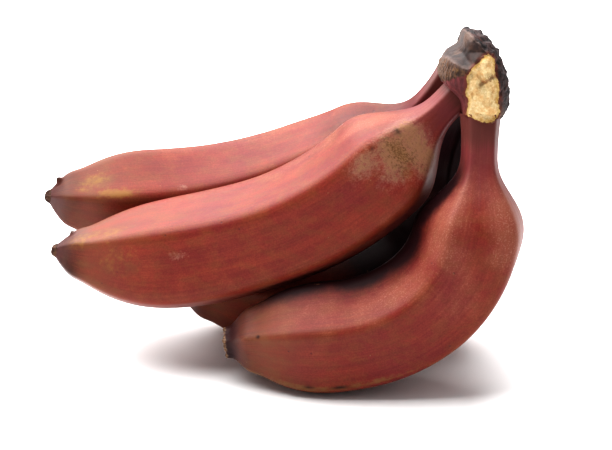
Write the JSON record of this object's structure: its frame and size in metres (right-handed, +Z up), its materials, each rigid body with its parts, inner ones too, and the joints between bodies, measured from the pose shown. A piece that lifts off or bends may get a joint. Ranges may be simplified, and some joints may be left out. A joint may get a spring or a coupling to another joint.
{
  "type": "red bananas on their crown",
  "caption": "Part-hand of curved red bananas joined at a dried crown, lying on the outer curves of the lower fruit.",
  "frame": {"origin": "middle of the bounding box, on the surface that the hand of fruit rests on", "axes": "+Z up, +X from the blossom tips towards the crown along the longest extent, -Y the front of the hand"},
  "size_m": [0.176, 0.1036, 0.1262],
  "materials": {
    "skin": "smooth waxy fruit skin, red-brown with a salmon sheen, satin",
    "crown": "dried fibrous stalk, matt brown to black, with one cream patch of torn flesh"
  },
  "bodies": {
    "root": {"finger_upper_back": "skin", "finger_upper_front": "skin", "finger_lower_front": "skin", "finger_lower_back": "skin", "crown": "crown"}
  },
  "joints": []
}
